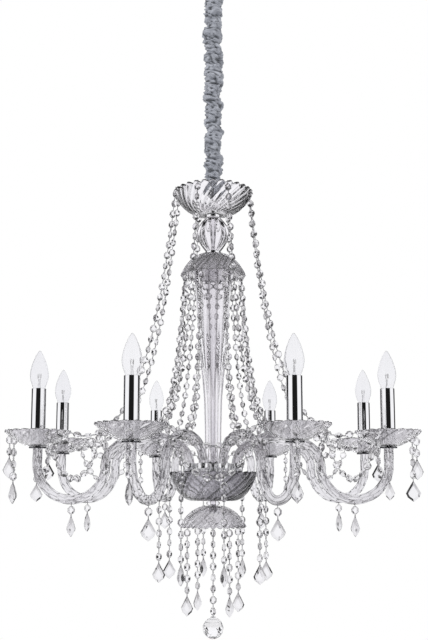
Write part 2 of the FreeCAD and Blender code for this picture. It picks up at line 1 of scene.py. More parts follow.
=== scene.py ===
import math
import bmesh
import bpy
import numpy as np
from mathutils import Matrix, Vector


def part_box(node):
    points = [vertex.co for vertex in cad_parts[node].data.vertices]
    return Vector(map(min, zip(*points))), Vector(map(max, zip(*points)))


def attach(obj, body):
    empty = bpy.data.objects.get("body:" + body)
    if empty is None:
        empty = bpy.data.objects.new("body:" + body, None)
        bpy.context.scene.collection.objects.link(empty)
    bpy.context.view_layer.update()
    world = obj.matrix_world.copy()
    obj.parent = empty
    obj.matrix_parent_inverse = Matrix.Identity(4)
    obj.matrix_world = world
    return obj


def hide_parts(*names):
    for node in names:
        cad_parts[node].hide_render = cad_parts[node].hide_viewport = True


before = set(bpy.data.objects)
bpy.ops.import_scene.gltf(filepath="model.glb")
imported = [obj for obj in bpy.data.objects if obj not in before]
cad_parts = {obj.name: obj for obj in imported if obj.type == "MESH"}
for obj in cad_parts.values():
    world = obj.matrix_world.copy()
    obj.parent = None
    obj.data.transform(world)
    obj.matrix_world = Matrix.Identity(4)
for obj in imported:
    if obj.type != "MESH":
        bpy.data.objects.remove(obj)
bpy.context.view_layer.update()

# Metres. Heights and places come from the frame's own boxes, and the arm's line repeats its few sizes.
tau = 2 * math.pi
armCount = 8
armAngles = (np.arange(armCount) + 0.5) * tau / armCount


def gridFaces(rows, columns, closeRows=False):
    # quads between neighbours on a grid of rings, the last ring joined to the first if rows are closed
    r = np.arange(rows if closeRows else rows - 1)[:, None]
    c = np.arange(columns)
    up, side = (r + 1) % rows, (c + 1) % columns
    quads = np.stack([r * columns + c, r * columns + side, up * columns + side, up * columns + c], axis=-1)
    return quads.reshape(-1, 4)


def tubeFaces(rows, columns):
    # a grid of rings with a flat face at each end
    count = rows * columns
    ends = [list(range(columns))[::-1], list(range(count - columns, count))]
    return gridFaces(rows, columns).tolist() + ends


def meshPiece(name, points, faces, material, smooth=True):
    # points is an N by 3 array, faces a list or array of corner indices
    mesh = bpy.data.meshes.new(name)
    mesh.from_pydata(np.asarray(points, float).tolist(), [], [list(map(int, f)) for f in faces])
    mesh.update()
    mesh.polygons.foreach_set("use_smooth", np.full(len(mesh.polygons), smooth))
    piece = bpy.data.objects.new(name, mesh)
    bpy.context.scene.collection.objects.link(piece)
    piece.data.materials.append(material)
    return piece


def place(piece, body, slot, *nodes):
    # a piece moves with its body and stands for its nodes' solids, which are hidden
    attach(piece, body)
    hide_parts(*nodes)
    return piece


def outward(piece):
    # faces turned outward after doubles are merged
    work = bmesh.new()
    work.from_mesh(piece.data)
    bmesh.ops.remove_doubles(work, verts=work.verts, dist=1e-6)
    bmesh.ops.recalc_face_normals(work, faces=work.faces)
    work.to_mesh(piece.data)
    work.free()
    return piece


def setValues(piece, name, values, domain="POINT"):
    # a number for each point or face, for the piece's material to read
    layer = piece.data.attributes.new(name, "FLOAT", domain)
    layer.data.foreach_set("value", np.clip(values, 0, 1).ravel())


def roundAngles(count):
    # evenly spread angles of a full turn
    return np.linspace(0, tau, count, endpoint=False)


def spun(radius, angle, height):
    # points round the axis: x is the radius times the cosine, y times the sine
    points = np.stack([radius * np.cos(angle), radius * np.sin(angle), height + 0 * angle], axis=-1)
    return points.reshape(-1, 3)


def turnedPoints(profile, sides):
    # each (radius, height) pair goes round the axis
    profile = np.asarray(profile, float)
    return spun(profile[:, :1], roundAngles(sides), profile[:, 1:])


def rounded(corners, radius, steps=4):
    # a closed outline of (radius, height) corners, each corner cut by a small parabola
    corners = np.asarray(corners, float)
    result = []
    for before, here, after in zip(np.roll(corners, 1, axis=0), corners, np.roll(corners, -1, axis=0)):
        toBefore, toAfter = before - here, after - here
        cut = min(radius, 0.45 * np.linalg.norm(toBefore), 0.45 * np.linalg.norm(toAfter))
        start = here + toBefore / max(np.linalg.norm(toBefore), 1e-9) * cut
        end = here + toAfter / max(np.linalg.norm(toAfter), 1e-9) * cut
        for s in np.linspace(0, 1, steps):
            result.append((1 - s) ** 2 * start + 2 * s * (1 - s) * here + s ** 2 * end)
    return np.array(result)


def turnAbout(points, angle):
    # the points go round the axis by an angle
    c, s = math.cos(angle), math.sin(angle)
    return points @ np.array([[c, s, 0], [-s, c, 0], [0, 0, 1]])


def footOf(node):
    # the height of the node's lowest point
    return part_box(node)[0][2]


def topOf(node):
    # the height of the node's highest point
    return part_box(node)[1][2]


def heightOf(node):
    # from its lowest point to its highest
    return topOf(node) - footOf(node)


def newMaterial(name):
    # a material with its tree and the shader that the makers below work on
    material = bpy.data.materials.new(name)
    material.use_nodes = True
    return material, material.node_tree, material.node_tree.nodes["Principled BSDF"]


def feed(node, values):
    # a node's inputs take numbers, colours or other nodes' outputs
    for name, value in values.items():
        if isinstance(value, bpy.types.NodeSocket):
            node.id_data.links.new(value, node.inputs[name])
        else:
            node.inputs[name].default_value = value


def addNode(tree, kind, values):
    # a new node of a kind, fed
    node = tree.nodes.new("ShaderNode" + kind)
    feed(node, values)
    return node


def addNoise(tree, scale, detail=2.0, stretch=(1, 1, 1)):
    # noise in the piece's own place, closer along an axis by its stretch
    coords = addNode(tree, "TexCoord", {})
    mapping = addNode(tree, "Mapping", {"Vector": coords.outputs["Object"], "Scale": stretch})
    noise = addNode(tree, "TexNoise", {"Vector": mapping.outputs["Vector"], "Scale": scale, "Detail": detail})
    return noise.outputs["Fac"]


def addBump(tree, height, shader, strength, distance):
    # the surface leans as if it rose with the noise, by up to a distance
    bump = addNode(tree, "Bump", {"Height": height, "Strength": strength, "Distance": distance})
    feed(shader, {"Normal": bump.outputs["Normal"]})


def addTint(tree, source, shader, dark, light):
    # the base colour drifts from dark to light with the noise
    ramp = addNode(tree, "ValToRGB", {"Fac": source})
    for element, position, colour in zip(ramp.color_ramp.elements, (0.35, 0.65), (dark, light)):
        element.position = position
        element.color = (*colour, 1)
    feed(shader, {"Base Color": ramp.outputs["Color"]})


def mixed(tree, a, b, factor, way="MIX"):
    # from one colour to the other by a factor, or the two multiplied
    node = tree.nodes.new("ShaderNodeMix")
    node.data_type = "RGBA"
    node.blend_type = way
    feed(node, {"A": a, "B": b, "Factor": factor})
    return node.outputs["Result"]


def addShade(tree, shader, attribute, colour):
    # the base colour goes over to a painted shade colour where the mesh's attribute nears one
    reader = addNode(tree, "Attribute", {})
    reader.attribute_name = attribute
    before = shader.inputs["Base Color"].links[0].from_socket
    feed(shader, {"Base Color": mixed(tree, before, (*colour, 1), reader.outputs["Fac"])})


def makeGlass(name, dark, light, paintedShade=None, bend=1.5, gloss=0.0, blur=0.0, clear=1.0):
    # Glass with a faint drift of tint. Where the mesh's painted shade value is high, its colour goes over to
    # a painted shade that stands in for the dark the glass refracts; the share that isn't clear scatters
    # light.
    material, tree, shader = newMaterial(name)
    feed(shader, {"Transmission Weight": clear, "IOR": bend, "Roughness": blur})
    addTint(tree, addNoise(tree, scale=9.0, detail=1.0), shader, dark, light)
    if paintedShade:
        addShade(tree, shader, "paintedShade", paintedShade)
        feed(shader, {"Coat Weight": gloss, "Coat Roughness": 0.01})
    return material


def makeMetal(name, colour, roughLow, roughHigh, bump=0.02):
    # metal with a fine haze in its colour, roughness and surface
    material, tree, shader = newMaterial(name)
    haze = addNoise(tree, scale=60.0, detail=3.0)
    addTint(tree, haze, shader, [0.97 * c for c in colour], colour)
    rough = addNode(tree, "MapRange", {"Value": haze, "From Min": 0.3, "From Max": 0.7, "To Min": roughLow,
                                       "To Max": roughHigh})
    feed(shader, {"Metallic": 1.0, "Roughness": rough.outputs["Result"]})
    addBump(tree, haze, shader, bump, 0.0002)
    return material


def makePlastic(name, dark, light):
    # dull plastic with a fine grain
    material, tree, shader = newMaterial(name)
    grain = addNoise(tree, scale=400.0)
    addTint(tree, grain, shader, dark, light)
    feed(shader, {"Roughness": 0.45})
    addBump(tree, grain, shader, 0.1, 0.0003)
    return material


def makeSatin(name):
    # satin: a fine weave by the piece's own map, and a painted shade, darker where the mesh's painted crease
    # shade is high
    material, tree, shader = newMaterial(name)
    coords = addNode(tree, "UVMap", {})
    coords.uv_map = "cloth"
    weave = addNode(tree, "TexWave", {"Vector": coords.outputs["UV"], "Scale": 260.0, "Distortion": 1.2})
    # random lighter and darker patches, stretched along the height: partly the cloth's uneven tone, partly
    # painted sheen
    toneAndSheen = addNoise(tree, scale=55.0, detail=4.0, stretch=(1, 1, 2.2))
    addTint(tree, toneAndSheen, shader, (0.225, 0.238, 0.272), (0.455, 0.475, 0.525))
    # painted shade in the creases and crumple valleys
    addShade(tree, shader, "paintedCreaseShade", (0.05, 0.055, 0.065))
    feed(shader, {"Roughness": 0.38, "Sheen Weight": 0.5, "Sheen Roughness": 0.35, "Anisotropic": 0.35})
    addBump(tree, weave.outputs["Fac"], shader, 0.12, 0.0002)
    return material


# the third colour of each glass is its painted shade: dark lines standing in for the dark that the glass
# refracts
pressedGlass = makeGlass("pressed_glass", (0.79, 0.78, 0.8), (0.88, 0.87, 0.89), (0.012, 0.01, 0.012),
                         bend=1.12, gloss=0.9, blur=0.03, clear=0.94)
crownGlass = makeGlass("crown_glass", (0.92, 0.91, 0.93), (0.965, 0.955, 0.97), (0.05, 0.045, 0.05),
                       bend=1.3, gloss=0.6)
umbrellaGlass = makeGlass("umbrella_glass", (0.68, 0.67, 0.69), (0.8, 0.79, 0.81), (0.12, 0.11, 0.12),
                          bend=1.15, gloss=0.6, blur=0.05, clear=0.8)
darkGlass = makeGlass("bowl_glass", (0.52, 0.51, 0.54), (0.84, 0.83, 0.86), (0.012, 0.012, 0.012),
                      bend=1.15, gloss=0.9)
blownGlass = makeGlass("blown_glass", (0.93, 0.92, 0.94), (0.965, 0.955, 0.97), (0.16, 0.15, 0.16),
                       bend=1.15, gloss=0.8)
columnGlass = makeGlass("column_glass", (0.9, 0.89, 0.91), (0.96, 0.95, 0.965), (0.22, 0.21, 0.22),
                        bend=1.25, gloss=0.7, blur=0.03)
armGlass = makeGlass("arm_glass", (0.72, 0.71, 0.73), (0.86, 0.85, 0.87), (0.04, 0.035, 0.04),
                     bend=1.12, gloss=1.0)
# the crystals' third colour is the painted shade of their dark faces and edges
cutCrystal = makeGlass("cut_crystal", (0.95, 0.945, 0.955), (0.985, 0.98, 0.985), (0.26, 0.25, 0.26),
                       bend=1.4)
kiteCrystal = makeGlass("kite_crystal", (0.92, 0.915, 0.925), (0.95, 0.945, 0.955), (0.45, 0.44, 0.45),
                        bend=1.12, gloss=0.5)
bulbGlass = makeGlass("bulb_glass", (0.92, 0.92, 0.93), (0.95, 0.95, 0.955), bend=1.17)
chrome = makeMetal("polished_chrome", (0.93, 0.93, 0.94), 0.01, 0.03)
rodSteel = makeMetal("rod_steel", (0.86, 0.85, 0.87), 0.03, 0.06, 0.03)
discPaintedDark = makeMetal("disc_metal_painted_shade", (0.1, 0.1, 0.11), 0.1, 0.2, 0.03)  # the chrome discs take a dark metal, a painted shade that reads as black lines
pinWire = makeMetal("pin_wire", (0.42, 0.42, 0.44), 0.15, 0.3, 0.05)
filamentWire = makeMetal("filament_wire", (0.3, 0.29, 0.28), 0.3, 0.5, 0.05)
capMetal = makeMetal("cap_metal", (0.75, 0.74, 0.72), 0.15, 0.35, 0.1)
holderPlastic = makePlastic("holder_plastic", (0.82, 0.82, 0.8), (0.88, 0.88, 0.86))
sleeveSatin = makeSatin("sleeve_satin")
print("materials ready")


def turned(name, node, profile, sides, centres=((0, 0, 0),), material=chrome, slot="polished_chrome",
           body="fixture", closed=True):
    # turned copies at some centres, as one piece; an open profile starts and ends on the axis
    points = turnedPoints(profile, sides)
    faces = gridFaces(len(profile), sides, closeRows=closed)
    allPoints = np.concatenate([points + centre for centre in centres])
    allFaces = np.concatenate([faces + k * len(points) for k in range(len(centres))])
    return place(outward(meshPiece(name, allPoints, allFaces, material)), body, slot, node)


lobePower = 0.8
# how the painted shade lines look: their sharpness, and the place, width, strength and share of ribs of the
# painted shade on one flank
shadeLineLook = {"sharp": 3, "flankAt": 0.3, "flankWide": 0.16, "flankShade": 0.55, "flankFrom": 0.6}


def lobes(count, theta):
    # round lobes with narrow grooves between them: twice a power of a cosine's size, less one
    return 2 * np.abs(np.cos(count * theta / 2)) ** lobePower - 1


def paintedShadeLines(count, theta, ridge, wide, shadeStrength, spare):
    # Painted shade, standing in for the dark the glass refracts: high along the grooves, over a width, and on
    # one flank of some ribs. Each rib has a chance number. Its line is the shade strength times what that
    # number has over the spare, so a high spare leaves many ribs clear.
    look = shadeLineLook
    chance = np.random.default_rng(count).uniform(0, 1, (2, count))
    rib = np.floor(theta / tau * count - 1e-9).astype(int) % count
    phase = (theta / tau * count) % 1.0
    strength = np.clip(shadeStrength * (chance[0] - spare), 0, 1)[rib]
    line = np.clip(look["sharp"] * (1 - (ridge + 1) / wide), 0, 1)
    flank = np.clip(1 - np.abs(phase - look["flankAt"]) / look["flankWide"], 0, 1)
    return line * strength + look["flankShade"] * flank * (chance[1] > look["flankFrom"])[rib]


def dishPoints(size, turn):
    # The side is an arc that opens by an angle: radius grows with its sine, height with one minus its cosine.
    # A lean blends that height with a cone's, which is the radius's own share. Ribs stand out along the
    # surface's normal, turn as they climb and end as scallops in the rim. Both grow as powers of the share.
    steps, wall = size["steps"], size["wall"]
    full = math.radians(size["opening"])
    share = np.linspace(0, 1, steps)[:, None]
    theta = roundAngles(size["around"])
    reach = np.sin(full * share) / math.sin(full)
    radius = size["foot"] + (size["rim"] - size["foot"]) * reach
    bowed = (1 - np.cos(full * share)) / (1 - math.cos(full))
    rise = size["height"] * ((1 - size["lean"]) * bowed + size["lean"] * reach)
    slope = np.arctan2(np.gradient(rise, axis=0), np.gradient(radius, axis=0))
    spin = turn + math.radians(size["twist"]) * (share - 1)
    ridge = lobes(size["ribs"], theta - spin)
    bump = size["depth"] * share ** size["ribPower"] * ridge
    scallop = size["scallop"] * share ** size["rimPower"] * ridge
    lift = size["rimLift"] * scallop
    outR = radius + bump * np.sin(slope) + scallop
    outZ = rise - bump * np.cos(slope) + lift
    inR = radius - wall * np.sin(slope) + scallop
    inZ = rise + wall * np.cos(slope) + lift
    lipR = (outR[-1:] + inR[-1:]) / 2 + 0.25 * wall
    lipZ = (outZ[-1:] + inZ[-1:]) / 2 + 0.45 * wall
    bore = np.full((1, size["around"]), size["bore"])
    ringR = np.concatenate([bore, outR, lipR, inR[::-1], bore])
    ringZ = np.concatenate([0 * bore, outZ, lipZ, inZ[::-1], 0 * bore + wall])
    if size["turnedOver"]:
        ringZ = -ringZ
    # painted shade lines on the outer side, faded in over the first quarter from the foot
    shadeLines = np.zeros(ringR.shape)
    lines = paintedShadeLines(size["ribs"], theta - spin, ridge, *size["line"])
    shadeLines[1:steps + 1] = lines * np.clip(share * 4, 0, 1)
    return spun(ringR, theta, ringZ), shadeLines


def pieceWithShadeLines(name, points, shadeLines, material, slot, node):
    # rings joined to a closed skin, with the painted shade lines' strength on its points
    piece = meshPiece(name, points, gridFaces(*shadeLines.shape, closeRows=True), material)
    setValues(piece, "paintedShade", shadeLines)
    return place(outward(piece), "fixture", slot, node)


# a line is the width, strength and spare of the painted shade lines at the grooves
dishSize = {"wall": 0.005, "bore": 0.005, "ribs": 28, "around": 288, "steps": 22, "turnedOver": False,
            "ribPower": 0.6, "rimPower": 6, "rimLift": 0.8}
crownSize = {**dishSize, "rim": 0.078, "foot": 0.026, "height": 0.043, "opening": 55, "lean": 0.1,
             "twist": 46, "depth": 0.0024, "scallop": 0.0026, "line": (0.6, 1.3, -0.1)}
umbrellaSize = {**dishSize, "rim": 0.062, "foot": 0.02, "height": 0.041, "opening": 62, "lean": 0.1,
                "twist": -46, "depth": 0.002, "scallop": 0.003, "line": (0.8, 1.4, 0.1), "turnedOver": True}
bowlSize = {**dishSize, "rim": 0.0835, "foot": 0.038, "height": 0.053, "opening": 68, "lean": 0.0,
            "twist": 62, "depth": 0.0024, "scallop": 0.002, "line": (1.4, 2.6, 0.15), "steps": 24}
skirtSize = {**dishSize, "rim": 0.061, "foot": 0.018, "height": 0.0385, "opening": 78, "lean": 0.3,
             "twist": -46, "depth": 0.0022, "scallop": 0.0026, "line": (0.8, 2.0, 0.3), "turnedOver": True}
bobecheSize = {**dishSize, "rim": 0.059, "foot": 0.017, "height": 0.0262, "opening": 40, "lean": 0.55,
               "twist": 60, "depth": 0.0014, "scallop": 0.0014, "line": (1.0, 3.4, 0.32),
               "wall": 0.0038, "bore": 0.0056, "ribs": 20, "around": 200, "steps": 14}
bobecheFoot = footOf("bobeche_1")
candleCircle = 0.35
candleCentres = spun(candleCircle, armAngles, 0)

for node, size, glass in (("crown_dish", crownSize, crownGlass), ("hub_bowl", bowlSize, darkGlass),
                          ("umbrella_dish", umbrellaSize, umbrellaGlass),
                          ("skirt_dish", skirtSize, pressedGlass)):
    points, shadeLines = dishPoints(size, 0)
    foot = (0, 0, topOf(node) if size["turnedOver"] else footOf(node))
    pieceWithShadeLines(node + "_glass", points + foot, shadeLines, glass, "pressed_glass", node)
for k, angle in enumerate(armAngles):
    points, shadeLines = dishPoints(bobecheSize, angle)
    points = points + candleCentres[k] + (0, 0, bobecheFoot)
    pieceWithShadeLines(f"bobeche_glass_{k + 1}", points, shadeLines, pressedGlass, "pressed_glass", f"bobeche_{k + 1}")
print("dishes done")


def ribbed(node, size, profile, material):
    # a profile goes round the axis, its radius plus lobes of the angle that fade near the bore, and a plain
    # hollow is left inside; painted shade lines on the outside fade with the lobes
    theta = roundAngles(size["around"])
    radius, height = profile[:, :1], profile[:, 1:]
    ridge = lobes(size["ribs"], theta)
    fade = np.clip((radius - size["bore"]) / size["fade"], 0, 1)
    outR = radius - size["depth"] + size["depth"] * ridge * fade
    inR = np.maximum(radius - 2 * size["depth"] - size["wall"], size["bore"]) + 0 * theta
    ringR = np.concatenate([outR, inR[::-1]])
    ringZ = np.concatenate([height, height[::-1]]) + footOf(node)
    shadeLines = np.zeros(ringR.shape)
    shadeLines[:len(profile)] = paintedShadeLines(size["ribs"], theta, ridge, *size["line"]) * fade
    pieceWithShadeLines(node + "_ribbed", spun(ringR, theta, ringZ), shadeLines, material, "blown_glass", node)


ribbedSize = {"wall": 0.003, "bore": 0.005, "fade": 0.012}
columnSize = {**ribbedSize, "foot": 0.0158, "top": 0.039, "low": 0.016, "shoulder": 0.032, "ribs": 12,
              "depth": 0.0017, "around": 256, "line": (0.8, 1.1, -0.25)}
knopSize = {**ribbedSize, "end": 0.015, "swell": 0.0185, "ribs": 16, "depth": 0.0018, "around": 224,
            "line": (0.5, 0.8, -0.4)}
neckSize = {"bore": 0.005, "end": 0.0095, "swell": 0.0045}


def columnProfile():
    # a slender foot, a steady flare that eases in and out, then a shoulder that closes as a quarter ellipse
    c, s = columnSize, np.linspace(0, 1, 48)
    side = heightOf("glass_column") - c["shoulder"]
    places = np.array([0, 0.18, 0.33, 0.433, 0.536, 0.64, 0.742, 0.845, 0.948, 1.0])
    shares = np.array([0, 0.03, 0.1, 0.25, 0.41, 0.56, 0.69, 0.8, 0.93, 1.0])
    flare = np.stack([c["foot"] + (c["top"] - c["foot"]) * np.interp(s, places, shares), side * s], axis=1)
    q = np.linspace(0, 1, 12)[1:] * math.pi / 2
    close = np.stack([c["low"] + (c["top"] - c["low"]) * np.cos(q), side + c["shoulder"] * np.sin(q)], axis=1)
    return np.concatenate([flare, close])


def knopProfile():
    # a power of the sine of the height, itself bent by a power so that it is fullest above the middle
    s = np.linspace(0, 1, 40)
    swell = knopSize["swell"] * np.sin(math.pi * s ** 1.12) ** 0.85
    return np.stack([knopSize["end"] + swell, heightOf("glass_knop") * s], axis=1)


def neckProfile():
    # half a turn's sine between two flat ends
    s, tall = np.linspace(0, 1, 14), heightOf("neck_ball")
    belly = np.stack([neckSize["end"] + neckSize["swell"] * np.sin(math.pi * s), tall * s], axis=1)
    return np.concatenate([[(neckSize["bore"], 0)], belly, [(neckSize["bore"], tall)]])


ribbed("glass_column", columnSize, columnProfile(), columnGlass)
ribbed("glass_knop", knopSize, knopProfile(), blownGlass)
turned("neck_ball_glass", "neck_ball", neckProfile(), 48, [(0, 0, footOf("neck_ball"))], blownGlass,
       "blown_glass")


armSize = {"circle": candleCircle, "bend": 0.065, "neck": 0.03, "crest": 0.13, "crestRise": 0.057,
           "socket": 0.05, "fallRise": 0.0176, "tube": 0.009, "lobes": 7, "lobeDepth": 0.0009,
           "turnLength": 0.26, "stations": 260, "around": 64, "line": (0.7, 1.6, 0.1),
           "underDish": 0.0023, "plateRise": 0.056, "overPlate": 0.0003}
plateTop = footOf("hub_bowl") + armSize["plateRise"]
armTopZ = bobecheFoot - armSize["underDish"]


def armPath():
    # a straight neck, half a circle, two quarter ellipses that meet at the crest, then straight to the socket
    a = armSize
    bendZ = armTopZ - a["neck"]
    bendEnd = a["circle"] - 2 * a["bend"]
    crestZ = bendZ + a["crestRise"]
    straightZ = plateTop + a["fallRise"]
    fine = np.linspace(0, 1, 60)
    half, quarter = math.pi * fine, math.pi / 2 * fine[1:]
    bend = np.stack([a["circle"] - a["bend"] + a["bend"] * np.cos(half), bendZ - a["bend"] * np.sin(half)],
                    axis=1)
    rise = np.stack([a["crest"] + (bendEnd - a["crest"]) * np.cos(quarter),
                     bendZ + a["crestRise"] * np.sin(quarter)], axis=1)
    fall = np.stack([a["crest"] - (a["crest"] - a["socket"]) * np.sin(quarter),
                     straightZ + (crestZ - straightZ) * np.cos(quarter)], axis=1)
    ends = [(a["circle"], armTopZ)], [(a["socket"], plateTop + a["overPlate"])]
    return np.concatenate([ends[0], bend, rise, fall, ends[1]])


def evenStations(path, count):
    # points at equal lengths along a line, by interpolation between its corners
    steps = np.linalg.norm(np.diff(path, axis=0), axis=1)
    along = np.concatenate([[0], np.cumsum(steps)])
    goal = np.linspace(0, along[-1], count)
    return np.stack([np.interp(goal, along, path[:, k]) for k in (0, 1)], axis=1), goal


def armPoints():
    # each station carries a lobed ring across the path; the lobes turn steadily with the length along it, and
    # painted shade lines follow their grooves
    line, along = evenStations(armPath(), armSize["stations"])
    run = np.gradient(line, axis=0)
    run /= np.linalg.norm(run, axis=1, keepdims=True)
    run[0] = run[-1] = (0, -1)
    phi = roundAngles(armSize["around"])
    twist = (tau * along / armSize["turnLength"])[:, None]
    ridge = lobes(armSize["lobes"], phi - twist)
    radius = armSize["tube"] - armSize["lobeDepth"] + armSize["lobeDepth"] * ridge
    waves = (np.sin(tau * along / 0.043) + np.sin(tau * along / 0.071 + 2))[:, None]  # the painted shade lines come and go
    shadeLines = paintedShadeLines(armSize["lobes"], phi - twist, ridge, *armSize["line"]) * (0.75 + 0.25 * waves)
    out = radius * np.cos(phi)
    r = line[:, :1] + run[:, 1:] * out
    z = line[:, 1:] - run[:, :1] * out
    y = radius * np.sin(phi)
    return np.stack([r, y, z], axis=-1).reshape(-1, 3), shadeLines


armGrid, armShadeLines = armPoints()
armFaces = tubeFaces(*armShadeLines.shape)
for k, angle in enumerate(armAngles):
    piece = meshPiece(f"arm_glass_{k + 1}", turnAbout(armGrid, angle), armFaces, armGlass)
    setValues(piece, "paintedShade", armShadeLines)
    place(outward(piece), "fixture", "blown_glass", f"arm_{k + 1}")
print("arms done")


upperProfile = rounded([(0.005, 0.0003), (0.016, 0.0003), (0.0164, 0.0078), (0.005, 0.0078)], 0.0008)
lowerProfile = rounded([(0.005, 0.0002), (0.0164, 0.0002), (0.016, 0.006), (0.005, 0.006)], 0.0008)
turned("upper_collar", "stem_collars", upperProfile, 64, [(0, 0, topOf("glass_knop"))])
turned("lower_collar", "stem_collars", lowerProfile, 64, [(0, 0, footOf("stem_collars"))])

tubeZ, tubeTall = footOf("candle_tube_1"), heightOf("candle_tube_1")
tubeProfile = rounded([(0.0126, 0), (0.0135, 0), (0.0135, tubeTall), (0.0126, tubeTall)], 0.0004, 3)
tubeFeet = candleCentres + (0, 0, tubeZ)
for k in range(armCount):
    turned(f"candle_tube_chrome_{k + 1}", f"candle_tube_{k + 1}", tubeProfile, 72, [tubeFeet[k]])

discProfile = rounded([(0.0004, 0.0001), (0.0099, 0.0001), (0.0099, -0.001), (0.016, -0.001),
                       (0.016, 0.0019), (0.0052, 0.0019), (0.005, 0.0058), (0.0004, 0.0058)], 0.0004, 3)
# the discs take the dark metal of painted shade
turned("arm_discs", "arm_cups", discProfile, 48, candleCentres + (0, 0, armTopZ), discPaintedDark)

plateProfile = rounded([(0.005, -0.005), (0.061, -0.005), (0.061, 0), (0.017, 0), (0.017, 0.0165),
                        (0.005, 0.0165)], 0.0012)
socketProfile = rounded([(0.0101, 0.0001), (0.0122, 0.0001), (0.013, 0.015), (0.013, 0.017),
                         (0.0101, 0.017)], 0.0008, 3)
spacerProfile = rounded([(0.005, 0.0053), (0.016, 0.0053), (0.012, 0.018), (0.014, 0.0508), (0.005, 0.0508)],
                        0.0015)
turned("hub_plate", "arm_hub", plateProfile, 96, [(0, 0, plateTop)])
turned("hub_sockets", "arm_hub", socketProfile, 48, spun(armSize["socket"], armAngles, plateTop))
turned("hub_spacer", "arm_hub", spacerProfile, 48, [(0, 0, footOf("hub_bowl"))])

nutProfile = [(0, 0), (0.0085, 0), (0.0088, -0.002), (0.0098, -0.004), (0.0109, -0.007),
              (0.0108, -0.009), (0.009, -0.0115), (0.0055, -0.0135), (0.004, -0.015),
              (0.003, 0.0002 - heightOf("bottom_finial")), (0, -heightOf("bottom_finial"))]
turned("finial_nut", "bottom_finial", nutProfile, 64, [(0, 0, topOf("bottom_finial"))], closed=False)
print("chrome done")

# heights in a bulb are counted from the top of its candle tube
bulbSize = {"wall": 0.0005, "steps": 60, "smooth": 5}
filamentSize = {"radius": 0.003, "low": 0.019, "tall": 0.009, "turns": 4, "sweep": math.pi * 1.25,
                "wire": 0.00016, "support": 0.0002, "turnEach": 0.7}


def bulbOutline(inset):
    # Neck, full belly and a tip drawn out to a point: straight lines between the table's points, smoothed by
    # a mean of neighbours. The inner wall is an inset nearer the axis, and its tip is as much lower.
    table = np.array([(0.0068, -0.0085), (0.0094, -0.004), (0.0122, 0.004), (0.0152, 0.012),
                      (0.017, 0.0195), (0.0174, 0.0255), (0.0168, 0.033), (0.0146, 0.043),
                      (0.0112, 0.053), (0.0073, 0.062), (0.0043, 0.0675), (0.002, 0.0706), (0, 0.0718)])
    steps = bulbSize["steps"]
    s = np.linspace(0, len(table) - 1, steps)
    r, z = (np.interp(s, np.arange(len(table)), column) for column in table.T)
    mean = np.ones(bulbSize["smooth"]) / bulbSize["smooth"]
    r = np.convolve(np.concatenate([r[:1].repeat(2), r, -r[-3:-1][::-1]]), mean, "valid")
    z = np.convolve(np.concatenate([z[:1].repeat(2), z, z[-3:-1][::-1]]), mean, "valid")
    r[-1] = 0.0
    return np.stack([np.maximum(r - inset, 0), z - inset * np.linspace(0, 1, steps) ** 4], axis=1)


def filamentPoints():
    # a zigzag: the height swings up and down while the way round sweeps past half a circle
    f = filamentSize
    s = np.linspace(0, 1, 90)
    swing = np.abs((s * f["turns"] * 2) % 2 - 1)
    a = f["sweep"] * s
    return np.stack([f["radius"] * np.cos(a), f["radius"] * np.sin(a), f["low"] + f["tall"] * swing], axis=1)


def wireMesh(line, radius, sides=5):
    # a round wire carried along a line of points
    run = np.gradient(line, axis=0)
    run /= np.maximum(np.linalg.norm(run, axis=1, keepdims=True), 1e-12)
    aside = np.cross(run, (0.31, 0.17, 0.93))
    aside /= np.linalg.norm(aside, axis=1, keepdims=True)
    across = np.cross(run, aside)
    t = roundAngles(sides)[None, :, None]
    rings = line[:, None] + radius * (np.cos(t) * aside[:, None] + np.sin(t) * across[:, None])
    return rings.reshape(-1, 3), tubeFaces(len(line), sides)


def joinMeshes(parts):
    # (points, faces) pairs as one, the corners counted on
    points, faces, start = [], [], 0
    for some, theirs in parts:
        points.append(some)
        faces += [[i + start for i in f] for f in theirs]
        start += len(some)
    return np.concatenate(points), faces


def supportWire(foot, head):
    # from the stem out to an end of the filament, with a bend above the middle
    middle = np.array([0.002 * np.sign(foot[0]), 0, 0.016])
    bend = (middle + head) / 2 + (0.0006 * np.sign(foot[0]), 0, 0.001)
    return wireMesh(np.array([foot, middle, bend, head]), filamentSize["support"])


stemProfile = [(0.004, -0.008), (0.003, 0.002), (0.0019, 0.008), (0.0016, 0.017), (0, 0.0178)]
stemPoints = turnedPoints(stemProfile, 20)
stemFaces = gridFaces(5, 20).tolist() + [list(range(20))[::-1]]
thread = [(r, z + 0.0028 * k) for k in range(6) for r, z in ((0.0068, -0.0295), (0.0061, -0.0281))]
capProfile = [(0, -0.033), (0.003, -0.033), (0.0034, -0.0318), (0.0058, -0.0305), *thread,
              (0.0069, -0.012), (0.0069, -0.008), (0, -0.008)]
bulbShell = np.concatenate([bulbOutline(0), bulbOutline(bulbSize["wall"])[::-1]])
headZ = filamentSize["low"] + filamentSize["tall"]
farHead = filamentSize["radius"] * math.cos(filamentSize["sweep"])
wirePoints, wireFaces = joinMeshes([
    wireMesh(filamentPoints(), filamentSize["wire"]),
    supportWire(np.array([0.0014, 0, 0.006]), np.array([filamentSize["radius"], 0, headZ])),
    supportWire(np.array([-0.0014, 0, 0.006]), np.array([farHead, -0.002, headZ]))])

